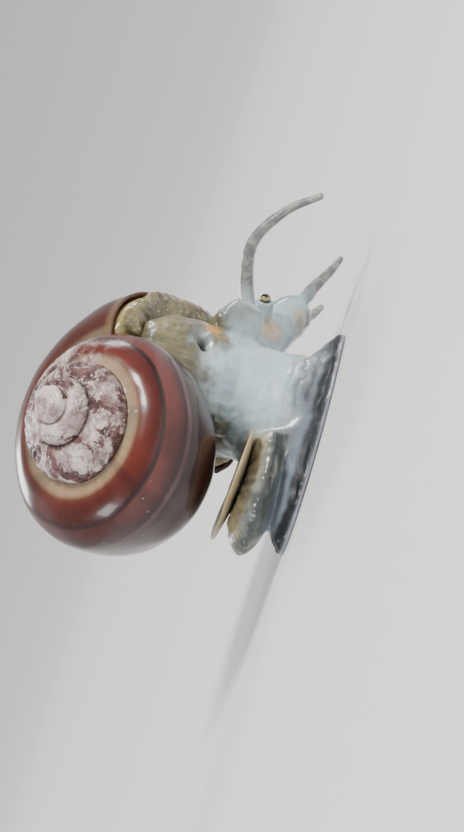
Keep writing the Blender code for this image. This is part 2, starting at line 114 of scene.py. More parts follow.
# Skin and mantle edge, over the nodes that they stand for
FLESH = ["foot", "foot_front", "neck", "head", "snout", "opercular_lobe", "siphon", "right_lobe",
         "tentacle_left_1", "tentacle_left_2", "tentacle_left_3",
         "tentacle_right_1", "tentacle_right_2", "tentacle_right_3",
         "labial_palp_left", "labial_palp_right", "eye_stalk_left", "eye_stalk_right"]
SKIN_VOXEL = 0.26 * MM
NODE_GROWTH = 0.2 * MM
GROWTH_LIMIT = 1.5
WELD_DISTANCE = 0.002 * MM

# Mantle edge: how far it may move to the lip, the gap left there, and the least depth of that measure
LIP_REACH = 2.4 * MM
LIP_GAP = 0.15 * MM
LIP_RAY_DEPTH = -0.8

# Steps of the smoothing: where the volume is kept, each second one undoes the shrinking before it
SMOOTH_STEP = 0.55
UNSHRINK_STEP = -0.58

# Joins of the skin that are rounded off: place, radius and fade in millimetres
JOINS = [((-0.3, 11.0, 4.0), 4.5, 4.0), ((8.0, 4.0, 4.0), 3.0, 4.0), ((8.0, -4.0, 6.5), 3.0, 3.0),
         ((-8.0, -4.0, 6.5), 3.0, 3.0), ((-8.0, 4.0, 4.0), 3.0, 4.0), ((0.0, -4.5, 4.5), 3.5, 4.0),
         ((-1.0, 10.0, 9.0), 3.5, 3.0), ((-6.0, 8.6, 9.6), 3.0, 2.5), ((3.5, 10.0, 15.0), 2.5, 2.5),
         ((-1.0, 10.5, 15.5), 3.0, 2.5), ((0.4, 18.9, 10.0), 3.0, 2.5), ((8.2, 6.1, 27.6), 2.2, 2.5),
         ((5.5, -3.2, 7.5), 2.5, 3.0), ((-5.5, -3.2, 7.5), 2.5, 3.0), ((7.0, -2.5, 4.5), 2.5, 3.0),
         ((-7.0, -2.5, 4.5), 2.5, 3.0), ((-2.9, 16.6, 13.2), 1.6, 1.2), ((2.7, 16.6, 13.2), 1.6, 1.2),
         ((-4.6, 16.0, 11.6), 1.2, 1.2), ((4.2, 16.0, 11.6), 1.2, 1.2)]
SHARP_CREASE = ((7.5, -3.0, 5.2), 2.6, 2.2)

# Pit and warm patches of the skin: place, radius and fade in millimetres, and strength of a patch
PIT = ((9.3, 3.7, 19.2), 0.45, 0.8)
WARM_PATCHES = [((8.2, 7.6, 17.9), 1.4, 1.5, 1.0),
                ((4.2, 15.5, 10.5), 1.3, 1.6, 0.7), ((-4.4, 15.5, 10.5), 1.3, 1.6, 0.7),
                ((2.6, 20.5, 7.5), 1.0, 1.6, 0.8), ((-1.4, 20.5, 7.5), 1.0, 1.6, 0.8)]

# Relief of the skin in millimetres, its waves round the sole and the lobe, and how wrinkles run
FOLD_HEIGHT = 0.03
RIDGE_HEIGHT = 0.13
FRILL_HEIGHT = 0.12
FRILL_WAVES = 17.0
RUFFLE_HEIGHT = 0.14
RUFFLE_WAVES = 15.0
SKIRT_HEIGHT = 0.35
HEM_HEIGHT = 0.30
GROOVE_DEPTH = 0.30
PIT_DEPTH = 1.1
WRINKLE_STRETCH = np.array([1.0, 0.45, 1.6])

# Relief of the mantle edge in millimetres
PLEAT_HEIGHT = 0.07
PLEAT_WAVES = 52.0
WAVE_HEIGHT = 0.10

# Horny plate, with the place of its nucleus in millimetres
OPERCULUM_LENGTH = 20.0 * MM
OPERCULUM_WIDTH = 13.0 * MM
OPERCULUM_THICKNESS = 1.1 * MM
OPERCULUM_DISH = 0.84 * MM
OPERCULUM_PLACE = Matrix.Translation(Vector((-0.8, -10.8, 9.3)) * MM) @ Matrix.Rotation(-0.06, 4, "X")
NUCLEUS = (-1.6, 1.0)
PLATE_AROUND = 144
PLATE_RINGS = 44
RING_HEIGHT = 0.045 * MM
RIPPLE_HEIGHT = 0.12 * MM
RIPPLE_SIZE = 3.0 * MM

# Eyes
EYE_RINGS = 28
EYE_AROUND = 36
EYE_LOOK = (0.87, 0.35, 0.25)
PUPIL_BULGE = 0.06

# Inputs and output of a mix node for each kind of value
MIX_SOCKETS = {"RGBA": (6, 7, 2), "VECTOR": (4, 5, 1)}

# Keeps a division from zero
TINY = 1e-18


def tone(red, green, blue):
    """A linear colour from the 0 to 255 values that a screen shows."""
    return tuple((c / 255.0) ** 2.2 for c in (red, green, blue))


def smooth_points(points, count):
    """Evenly spaced points on a smooth curve through the given ones."""
    points = [np.array(p, dtype=float) for p in points]
    ends = [2 * points[0] - points[1]] + points + [2 * points[-1] - points[-2]]
    dense = []
    for k in range(len(points) - 1):
        a, b, c, d = ends[k:k + 4]
        for t in np.linspace(0.0, 1.0, CURVE_STEPS, endpoint=False):
            dense.append(0.5 * (2 * b + (c - a) * t + (2 * a - 5 * b + 4 * c - d) * t ** 2
                                + (3 * b - 3 * c + d - a) * t ** 3))
    dense = np.array(dense + [points[-1]])
    walked = np.concatenate([[0.0], np.cumsum(np.linalg.norm(np.diff(dense, axis=0), axis=1))])
    wanted = np.linspace(0.0, walked[-1], count)
    return np.column_stack([np.interp(wanted, walked, dense[:, i]) for i in range(dense.shape[1])])


def ramp01(value, start, end):
    """0 below start, 1 above end, smooth between."""
    t = np.clip((value - start) / (end - start), 0.0, 1.0)
    return t * t * (3 - 2 * t)


def noise_field(places, scale, octaves, seed):
    """Smooth noise at each place, from about -1 to 1. Scale is the size of a feature in metres."""
    shift = Vector((seed * 13.7, seed * 7.1, seed * 3.3))
    return np.array([noise.fractal(Vector(p) / scale + shift, 0.6, 2.0, octaves) for p in places])


def near(places, centre, radius, soft):
    """1 within a radius of a place in millimetres, fading to 0 over the soft distance."""
    gap = np.linalg.norm(places - np.array(centre) * MM, axis=1)
    return 1.0 - ramp01(gap, radius * MM, (radius + soft) * MM)


# Meshes and objects
def scene_object(name, data):
    """An object in the scene for a mesh, a light or a camera."""
    made = bpy.data.objects.new(name, data)
    bpy.context.collection.objects.link(made)
    return made


def new_object(name, vertices, faces):
    """A mesh object in the scene."""
    mesh = bpy.data.meshes.new(name)
    mesh.from_pydata([tuple(v) for v in vertices], [], faces)
    mesh.update()
    return scene_object(name, mesh)


def ring_faces(first, second):
    """The faces between two closed rings, each given as its vertex numbers in order."""
    count = len(first)
    return [(first[j], second[j], second[(j + 1) % count], first[(j + 1) % count]) for j in range(count)]


def tube_faces(rings):
    """The faces between closed rings that follow one another."""
    return [face for first, second in zip(rings, rings[1:]) for face in ring_faces(first, second)]


def rework(mesh, change):
    """Runs a change on a mesh in its bmesh form."""
    work = bmesh.new()
    work.from_mesh(mesh)
    change(work)
    work.to_mesh(mesh)
    work.free()
    mesh.update()


def face_outward(work):
    bmesh.ops.recalc_face_normals(work, faces=work.faces)


def weld(work):
    """Joins vertices that lie at the same place."""
    bmesh.ops.remove_doubles(work, verts=work.verts, dist=WELD_DISTANCE)


def keep_largest(work):
    """Deletes all loose bits but the largest part."""
    seen = set()
    parts = []
    for start in work.verts:
        if start in seen:
            continue
        seen.add(start)
        part = [start]
        for vertex in part:
            for edge in vertex.link_edges:
                other = edge.other_vert(vertex)
                if other not in seen:
                    seen.add(other)
                    part.append(other)
        parts.append(part)
    parts.sort(key=len)
    bmesh.ops.delete(work, geom=[v for part in parts[:-1] for v in part], context="VERTS")


def shade_smooth(mesh):
    mesh.polygons.foreach_set("use_smooth", [True] * len(mesh.polygons))


def coordinates(mesh):
    """The vertices of a mesh as an array."""
    places = np.empty(len(mesh.vertices) * 3)
    mesh.vertices.foreach_get("co", places)
    return places.reshape(-1, 3)


def set_coordinates(mesh, places):
    """Writes an array of places back into a mesh."""
    mesh.vertices.foreach_set("co", np.ascontiguousarray(places, dtype=np.float32).ravel())
    mesh.update()


def normals(mesh):
    """The vertex normals of a mesh as an array."""
    values = np.empty(len(mesh.vertices) * 3)
    mesh.vertex_normals.foreach_get("vector", values)
    return values.reshape(-1, 3)


def mask_attribute(mesh, name, values):
    """Stores one number a vertex, which a material reads by its name."""
    layer = mesh.attributes.new(name, "FLOAT", "POINT")
    layer.data.foreach_set("value", np.ascontiguousarray(values, dtype=np.float32))


def relax(mesh, places, rounds, weight=1.0, keep_volume=True):
    """Smooths an array of vertex places along the edges of a mesh, by a weight for each vertex."""
    edges = np.empty(len(mesh.edges) * 2, dtype=np.int32)
    mesh.edges.foreach_get("vertices", edges)
    a, b = edges.reshape(-1, 2).T
    count = len(mesh.vertices)
    neighbours = np.bincount(a, minlength=count) + np.bincount(b, minlength=count)
    neighbours = np.maximum(neighbours, 1)[:, None]
    weight = np.asarray(weight, dtype=float).reshape(-1, 1)
    places = places.copy()
    for turn in range(rounds):
        total = np.empty_like(places)
        for axis in range(places.shape[1]):
            column = places[:, axis]
            total[:, axis] = (np.bincount(a, weights=column[b], minlength=count)
                              + np.bincount(b, weights=column[a], minlength=count))
        step = total / neighbours - places
        factor = UNSHRINK_STEP if keep_volume and turn % 2 == 1 else SMOOTH_STEP
        places += step * factor * weight
    return places


# Node helpers for the materials
class Nodes:
    """Builds the node tree of one material."""

    def __init__(self, name):
        self.material = bpy.data.materials.new(name)
        self.material.use_nodes = True
        self.tree = self.material.node_tree
        self.shader = self.tree.nodes["Principled BSDF"]

    def put(self, socket, value):
        """Links a socket to another, or sets its value."""
        if isinstance(value, bpy.types.NodeSocket):
            self.tree.links.new(value, socket)
        elif isinstance(value, tuple) and len(value) == 3 and socket.type == "RGBA":
            socket.default_value = (*value, 1.0)
        else:
            socket.default_value = value

    def made(self, kind, **inputs):
        """A new node with its inputs linked or set by their names."""
        node = self.tree.nodes.new(kind)
        for name, value in inputs.items():
            self.put(node.inputs[name.replace("_", " ")], value)
        return node

    def attribute(self, name):
        node = self.made("ShaderNodeAttribute")
        node.attribute_name = name
        return node.outputs["Fac"]

    def place(self):
        return self.made("ShaderNodeTexCoord").outputs["Object"]

    def whorl(self):
        """The shell's turns back from the lip and share of the profile."""
        uv = self.made("ShaderNodeUVMap")
        uv.uv_map = "whorl"
        parts = self.made("ShaderNodeSeparateXYZ", Vector=uv.outputs[0])
        return parts.outputs[0], parts.outputs[1]

    def math(self, operation, first, second, clamp=False):
        node = self.made("ShaderNodeMath")
        node.operation = operation
        node.use_clamp = clamp
        self.put(node.inputs[0], first)
        self.put(node.inputs[1], second)
        return node.outputs[0]

    def times(self, first, second):
        return self.math("MULTIPLY", first, second)

    def plus(self, first, second, clamp=False):
        return self.math("ADD", first, second, clamp)

    def swing(self, value, width):
        """A noise value turned into a shift about zero, over a width."""
        return self.times(self.math("SUBTRACT", value, 0.5), width)

    def step(self, value, start, end, low=0.0, high=1.0):
        """Low at start, high at end, smooth between."""
        node = self.made("ShaderNodeMapRange", Value=value, From_Min=start, From_Max=end,
                         To_Min=low, To_Max=high)
        node.interpolation_type = "SMOOTHSTEP"
        return node.outputs[0]

    def noise(self, vector, scale, detail=3.0, rough=0.55, distortion=0.0):
        return self.made("ShaderNodeTexNoise", Vector=vector, Scale=scale, Detail=detail,
                         Roughness=rough, Distortion=distortion).outputs["Fac"]

    def cells(self, vector, scale, feature="F1"):
        node = self.made("ShaderNodeTexVoronoi", Vector=vector, Scale=scale)
        node.feature = feature
        return node.outputs["Distance"]

    def dots(self, vector, scale, outer, inner):
        """1 in small round dots, fading to 0 between the inner and the outer distance."""
        return self.step(self.cells(vector, scale), outer, inner)

    def scaled(self, vector, scale, turn=(0.0, 0.0, 0.0)):
        return self.made("ShaderNodeMapping", Vector=vector, Rotation=turn, Scale=scale).outputs[0]

    def moved(self, vector, shift):
        node = self.made("ShaderNodeVectorMath")
        node.operation = "ADD"
        self.put(node.inputs[0], vector)
        self.put(node.inputs[1], shift)
        return node.outputs[0]

    def join(self, x, y, z=0.0):
        return self.made("ShaderNodeCombineXYZ", X=x, Y=y, Z=z).outputs[0]

    def mix(self, share, first, second, blend="MIX", kind="RGBA"):
        """Two colours, or two vectors, mixed by a share."""
        node = self.made("ShaderNodeMix")
        node.data_type = kind
        node.blend_type = blend
        a, b, result = MIX_SOCKETS[kind]
        for socket, value in ((0, share), (a, first), (b, second)):
            self.put(node.inputs[socket], value)
        return node.outputs[result]

    def cover(self, colour, top, mask, amount=1.0):
        """A colour with another laid over it by a mask of the mesh."""
        return self.mix(self.times(self.attribute(mask), amount), colour, top)

    def bands(self, value, stops):
        node = self.made("ShaderNodeValToRGB", Fac=value)
        ramp = node.color_ramp
        while len(ramp.elements) < len(stops):
            ramp.elements.new(1.0)
        for element, (place, colour) in zip(ramp.elements, stops):
            element.position = place
            element.color = (*colour, 1.0)
        return node.outputs[0]

    def bump(self, height, strength, distance):
        return self.made("ShaderNodeBump", Height=height, Strength=strength, Distance=distance).outputs[0]

    def finish(self, colour, roughness, **others):
        """The material, with the values of its shader given by their names."""
        self.put(self.shader.inputs["Base Color"], colour)
        self.put(self.shader.inputs["Roughness"], roughness)
        for name, value in others.items():
            self.put(self.shader.inputs[name.replace("_", " ")], value)
        return self.material


# Shell
def whorl_profile():
    """Radius and drop of one whorl, and the index of the next whorl's suture on it."""
    curve = smooth_points(WHORL_POINTS, PROFILE_POINTS)
    next_suture = np.array(WHORL_POINTS[0]) * WHORL_GROWTH
    meeting = int(np.argmin(np.linalg.norm(curve - next_suture, axis=1)))
    above = smooth_points(curve[:meeting + 1:PROFILE_STRIDE], STEPS_ABOVE_SUTURE + 1)
    below = smooth_points(curve[meeting::PROFILE_STRIDE], STEPS_BELOW_SUTURE + 1)
    above[0] = WHORL_POINTS[0]
    above[-1] = next_suture
    below[-1] = WHORL_POINTS[-1]
    return np.vstack([above, below[1:]]) * SHELL_HEIGHT, STEPS_ABOVE_SUTURE


def nearest_on(ring, point):
    """The place on a closed ring that is nearest to a point."""
    side = np.roll(ring, -1, axis=0) - ring
    length = np.maximum(np.sum(side ** 2, axis=1), TINY)
    t = np.clip(np.sum((point - ring) * side, axis=1) / length, 0.0, 1.0)
    places = ring + side * t[:, None]
    return places[np.argmin(np.linalg.norm(places - point, axis=1))]


def inset_outline(outline, distance):
    """A closed outline moved inward; points that would come too near another side drop out."""
    following = np.roll(outline, -1, axis=0)
    before = np.roll(outline, 1, axis=0)
    area = np.sum(before[:, 0] * outline[:, 1] - outline[:, 0] * before[:, 1])
    along = following - before
    inward = np.column_stack([-along[:, 1], along[:, 0]])
    inward /= np.linalg.norm(inward, axis=1)[:, None]
    moved = outline + inward * math.copysign(distance, area)
    clear = distance * INSET_SLACK
    return np.array([p for p in moved if np.linalg.norm(nearest_on(outline, p) - p) > clear])


def add_mouth(vertices, faces, marks, lip):
    """The hollow of the mouth, inward from the vertices of the lip."""
    outline = np.array([(vertices[k][0], vertices[k][2]) for k in lip])
    middle = outline.mean(axis=0)
    before = lip
    for depth, inset, size in MOUTH_RINGS:
        inner = inset_outline(outline, inset * MM)
        ring = np.array([nearest_on(inner, point) for point in outline])
        ring = middle + (ring - middle) * size
        following = range(len(vertices), len(vertices) + len(ring))
        vertices += [(x, depth * MM, z) for x, z in ring]
        faces += ring_faces(before, following)
        marks += [(MOUTH_MARK,) * 4] * len(ring)
        before = following
    faces.append(tuple(before))
    marks.append((MOUTH_MARK,) * len(before))


def shell_mesh():
    """The shell in its own frame, with the marks of its faces and its vertices by row and step."""
    profile, suture = whorl_profile()
    last = len(profile) - 1
    rows = int(WHORL_TURNS * STEPS_PER_TURN)
    vertices = []
    index = {}
    for row in range(rows, -1, -1):
        turns = row / STEPS_PER_TURN
        size = WHORL_GROWTH ** -turns
        bottom = last if row <= STEPS_PER_TURN else suture
        for j in range(bottom + 1):
            if j == 0 and row + STEPS_PER_TURN <= rows:
                index[row, 0] = index[row + STEPS_PER_TURN, suture]
                continue
            radius, drop = profile[j] * size
            angle = math.tau * turns
            index[row, j] = len(vertices)
            vertices.append((radius * math.cos(angle), radius * math.sin(angle), -drop))
    faces = []
    marks = []
    for row in range(rows):
        bottom = last if row < STEPS_PER_TURN else suture
        t = row / STEPS_PER_TURN
        u = (row + 1) / STEPS_PER_TURN
        for j in range(bottom):
            faces.append((index[row, j], index[row, j + 1], index[row + 1, j + 1], index[row + 1, j]))
            marks.append(((t, j / last), (t, (j + 1) / last), (u, (j + 1) / last), (u, j / last)))

    lip = [index[0, j] for j in range(last + 1)]
    lip += [index[row, last] for row in range(1, STEPS_PER_TURN + 1)]
    lip += [index[STEPS_PER_TURN, j] for j in range(last - 1, suture, -1)]
    add_mouth(vertices, faces, marks, lip)

    crown = [index[row, 0] for row in range(rows - STEPS_PER_TURN, rows + 1)]
    crown += [index[rows, j] for j in range(1, suture)]
    for k in range(len(crown)):
        faces.append((crown[k], crown[(k + 1) % len(crown)], len(vertices)))
        marks.append((CROWN_MARK,) * 3)
    vertices.append((0.0, 0.0, -APEX_WEAR))
    return vertices, faces, marks, index


def shell_placement():
    """Where the shell's own frame stands: axis toward the apex, lip forward and raised, mouth down."""
    axis = SHELL_AXIS.normalized()
    down = (Vector((0, 0, -1)) + axis * axis.z).normalized()
    lip = axis.cross(down) * math.cos(LIP_RAISE) - down * math.sin(LIP_RAISE)
    side = axis.cross(lip)
    return Matrix.Translation(APEX) @ Matrix((lip, side, axis)).transposed().to_4x4()


def in_shell_frame(places):
    """Places in the shell's own frame, in millimetres."""
    inverse = np.array(shell_placement().inverted())
    return (places @ inverse[:3, :3].T + inverse[:3, 3]) / MM


def mouth_depth(places):
    """How far each place lies outside the plane of the shell's mouth, in millimetres."""
    return -in_shell_frame(places)[:, 1]


def shell_relief(places, turns):
    """How far each place of the shell moves outward: swells and dents, and pits where it is worn."""
    swell = 0.5 * np.sin(turns * 61.0 + 2.0 * np.sin(turns * 9.0)) + 0.5 * np.sin(turns * 37.0 + 1.3)
    dents = noise_field(places, 9.0 * MM, 2, seed=1) * DENT_DEPTH * MM
    ragged = 0.10 * noise_field(places, 4.0 * MM, 3, seed=2)
    coarse = noise_field(places, 1.5 * MM, 4, seed=3)
    grain = noise_field(places, 0.6 * MM, 2, seed=4) * GRAIN_DEPTH * MM
    worn = ramp01(turns + ragged, 0.94, 1.22)
    pits = -np.maximum(coarse - 0.05, 0.0) * WORN_DEPTH * MM + grain
    smaller_inward = np.clip(1.7 ** -(turns - 1.0), 0.35, 1.0)
    move = (swell * SWELL_DEPTH * MM + dents) * (1.0 - worn) + pits * worn * smaller_inward
    return move * ramp01(turns, 0.0, 0.03)


def make_shell():
    """The fine shell: outer surface, worn spire, thin lip and the hollow of its mouth."""
    vertices, faces, marks, index = shell_mesh()
    shell = new_object("shell_surface", vertices, faces)
    mesh = shell.data
    layer = mesh.uv_layers.new(name="whorl")
    layer.data.foreach_set("uv", [value for face in marks for pair in face for value in pair])
    rework(mesh, face_outward)

    places = coordinates(mesh)
    turns = np.zeros(len(places))
    for (row, _), k in sorted(index.items(), reverse=True):
        turns[k] = row / STEPS_PER_TURN
    places += normals(mesh) * shell_relief(places, turns)[:, None]
    set_coordinates(mesh, places)
    rework(mesh, weld)

    mesh.transform(shell_placement())
    shade_smooth(mesh)
    mesh.set_sharp_from_angle(angle=SHARP_ANGLE)
    return shell


def coil_colour(n, turns, share):
    """Burgundy with spiral bands, darker growth stretches, painted shade toward the lip and on the whorl's
    lower band, fine streaks and a pale lip.
    """
    waver = n.noise(n.join(n.times(turns, 9.0), n.times(share, 3.0)), 1.0, 2.0)
    band = n.plus(share, n.swing(waver, 0.018))
    base = n.bands(band, [
        (0.000, tone(160, 138, 112)), (0.054, tone(150, 122, 94)), (0.080, tone(96, 54, 42)),
        (0.105, tone(98, 42, 32)), (0.170, tone(84, 36, 31)), (0.205, tone(70, 30, 28)),
        (0.213, tone(36, 14, 15)), (0.228, tone(38, 15, 16)), (0.242, tone(98, 47, 42)),
        (0.300, tone(92, 45, 44)), (0.352, tone(62, 28, 29)), (0.366, tone(28, 11, 12)),
        (0.384, tone(94, 66, 70)), (0.398, tone(94, 66, 70)), (0.416, tone(30, 12, 12)),
        (0.500, tone(54, 24, 21)), (0.540, tone(62, 30, 26)), (0.590, tone(38, 17, 15)),
        (0.640, tone(46, 21, 19)), (0.675, tone(57, 29, 25)), (0.715, tone(34, 15, 13)),
        (0.780, tone(46, 22, 19)), (0.860, tone(38, 18, 16)), (0.950, tone(92, 66, 54)),
        (1.000, tone(120, 96, 78))])
    dark = n.bands(band, [
        (0.000, tone(92, 92, 76)), (0.055, tone(78, 76, 62)), (0.080, tone(62, 32, 26)),
        (0.180, tone(60, 28, 24)), (0.280, tone(54, 30, 29)), (0.420, tone(44, 23, 21)),
        (0.700, tone(36, 19, 16)), (1.000, tone(74, 56, 48))])
    age = n.noise(n.join(n.times(turns, 5.0), n.times(share, 1.2)), 1.0, 2.0)
    # Painted shade: the whorl is darkened toward the lip, its upper part in the camera's view
    near_lip = n.step(turns, 0.06, 0.36, 1.0, 0.0)
    dim = n.plus(n.step(age, 0.46, 0.66), n.times(near_lip, 0.85), clamp=True)
    # Painted shade: the band of the whorl lowest in the camera's view, where light falls off, is darkened
    painted_lower_shade = n.times(n.step(turns, 0.28, 0.46), n.step(turns, 0.66, 0.52))
    painted_lower_shade = n.times(painted_lower_shade, n.step(share, 0.06, 0.12, 0.0, 0.7))
    dim = n.plus(dim, painted_lower_shade, clamp=True)
    colour = n.mix(n.times(dim, 0.8), base, dark)
    streak = n.noise(n.join(n.times(turns, 44.0), n.times(share, 1.6)), 1.0, 2.0, 0.5)
    faint = n.bands(streak, [(0.34, (0.86, 0.84, 0.84)), (0.60, (1.0, 1.0, 1.0))])
    colour = n.mix(1.0, colour, faint, "MULTIPLY")
    rest = n.noise(n.join(n.times(turns, 14.0), 0.3), 1.0, 1.0)
    colour = n.mix(n.step(rest, 0.64, 0.72, 0.0, 0.35), colour, tone(40, 14, 18))
    lip_edge = n.step(turns, 0.004, 0.016, 1.0, 0.0)
    return n.mix(n.times(lip_edge, 0.7), colour, tone(112, 92, 68)), streak


def scratch_marks(n, place):
    """Scratches and small chips of the wet outer skin."""
    scratch = n.dots(n.scaled(place, (1.0, 0.12, 0.5), (0.4, 0.9, 0.3)), 900.0, 0.10, 0.05)
    rare = n.noise(place, 160.0, 2.0)
    scratched = n.times(scratch, n.step(rare, 0.60, 0.66))
    bent = n.swing(n.noise(place, 1500.0, 2.0), 0.0009)
    shaken = n.moved(place, n.join(bent, n.times(bent, -0.8), bent))
    chip = n.times(n.dots(shaken, 620.0, 0.20, 0.12), n.step(rare, 0.64, 0.70))
    return n.math("MAXIMUM", n.times(scratched, 0.60), n.times(chip, 0.42))


def spire_colour(n, turns, share, place, pits, speck):
    """The worn, whitish spire with purple blotches, pale specks and painted shade along its sutures."""
    chalk = n.mix(n.step(n.noise(place, 300.0, 3.0), 0.42, 0.62), tone(202, 190, 182), tone(156, 134, 132))
    chalk = n.mix(n.step(pits, 0.52, 0.60, 0.0, 0.6), chalk, tone(100, 82, 84))
    purple = n.mix(n.step(pits, 0.4, 0.6), tone(62, 36, 36), tone(108, 74, 72))
    paler_inward = n.times(n.step(turns, 1.6, 2.6), -0.07)
    blotch = n.plus(n.noise(place, 210.0, 5.0, 0.75, 0.6), paler_inward)
    colour = n.mix(n.step(blotch, 0.46, 0.54), chalk, purple)
    colour = n.mix(n.times(speck, 0.6), colour, tone(226, 218, 216))
    # Painted shade: dark lines in the sutures where the whorls meet
    suture_shade = n.math("MAXIMUM", n.step(share, 0.045, 0.006), n.step(share, 0.415, 0.452))
    suture_shade = n.times(suture_shade, n.step(turns, 1.02, 1.1))
    suture_shade = n.times(suture_shade, n.step(turns, 2.2, 3.0, 0.85, 0.15))
    return n.mix(suture_shade, colour, tone(50, 32, 34))


def shell_material():
    """Burgundy shell with spiral bands and an eroded, whitish spire."""
    n = Nodes("shell_wet")
    turns, share = n.whorl()
    place = n.place()
    colour, streak = coil_colour(n, turns, share)
    marks = scratch_marks(n, place)
    colour = n.mix(marks, colour, tone(205, 190, 185))

    ragged = n.noise(place, 260.0, 4.0, 0.65)
    worn = n.step(n.plus(turns, n.swing(ragged, 0.45)), 0.92, 1.04)
    pits = n.noise(place, 620.0, 5.0, 0.7)
    speck = n.dots(place, 900.0, 0.22, 0.10)
    colour = n.mix(worn, colour, spire_colour(n, turns, share, place, pits, speck))
    inside = n.step(turns, -0.5, -0.2, 1.0, 0.0)
    colour = n.mix(inside, colour, tone(84, 54, 45))

    rough = n.plus(n.times(worn, 0.32), n.times(marks, 0.3))
    rough = n.plus(rough, 0.26, clamp=True)
    fresh = n.math("SUBTRACT", 1.0, n.times(worn, 0.8))
    lines = n.bump(n.times(streak, fresh), 0.06, 0.25 * MM)
    grain = n.bump(n.plus(pits, n.times(speck, -0.4)), 0.55, 0.5 * MM)
    normal = n.mix(worn, lines, grain, kind="VECTOR")
    return n.finish(colour, rough, Normal=normal, Coat_Weight=0.30, Coat_Roughness=0.05, IOR=1.42)


# Flesh
def one_skin(name, members):
    """The named nodes, each grown by a little so that they meet, as one mesh of fine, even faces."""
    work = bmesh.new()
    for member in members:
        piece = bmesh.new()
        piece.from_mesh(nodes[member].data)
        weld(piece)
        face_outward(piece)
        piece.normal_update()
        places = [v.co + v.normal * NODE_GROWTH * min(v.calc_shell_factor(), GROWTH_LIMIT)
                  for v in piece.verts]
        for vertex, place in zip(piece.verts, places):
            vertex.co = place
        mesh = bpy.data.meshes.new("scratch")
        piece.to_mesh(mesh)
        piece.free()
        work.from_mesh(mesh)
        bpy.data.meshes.remove(mesh)
    mesh = bpy.data.meshes.new(name)
    work.to_mesh(mesh)
    work.free()
    made = scene_object(name, mesh)
    remesh = made.modifiers.new("remesh", "REMESH")
    remesh.mode = "VOXEL"
    remesh.voxel_size = SKIN_VOXEL
    bpy.context.view_layer.update()
    evaluated = made.evaluated_get(bpy.context.evaluated_depsgraph_get())
    fine = bpy.data.meshes.new_from_object(evaluated)
    made.modifiers.clear()
    made.data = fine
    return made


def feelers(x, y, palps_from):
    """1 on the tentacles and the palps, 0 on the rest, from places in millimetres."""
    tentacles = ramp01(np.abs(x), 4.6, 5.8) * ramp01(y, 18.6, 19.8)
    return np.maximum(tentacles, ramp01(y, palps_from, palps_from + 1.0))


def make_skin():
    """The whole soft body as one skin, with its joins rounded off, more where they are broad."""
    skin = one_skin("skin", FLESH)
    mesh = skin.data
    rework(mesh, keep_largest)
    places = coordinates(mesh)
    x, y, z = (places / MM).T
    thin = feelers(x, y, 24.5)
    joins = np.maximum.reduce([near(places, *join) for join in JOINS])
    flat = 1.0 - ramp01(z, 0.2, 0.9)
    places = relax(mesh, places, 10, 1.0 - 0.35 * thin)
    places = relax(mesh, places, 90, joins * (1.0 - thin) * (1.0 - flat), keep_volume=False)
    places = relax(mesh, places, 14, (1.0 - thin) * (1.0 - flat))

    # The outline of the sole is eased more, and stays on the floor
    eased = relax(mesh, places, 60, 1.0 - thin)
    low = 1.0 - ramp01(z, 1.2, 2.8)
    places[:, :2] = places[:, :2] * (1.0 - low[:, None]) + eased[:, :2] * low[:, None]
    margin = low * ramp01(z, 0.1, 0.3)
    places[:, 2] = places[:, 2] * (1.0 - margin) + eased[:, 2] * margin
    places[:, 2] = np.maximum(places[:, 2], 0.0)
    set_coordinates(mesh, places)
    return skin


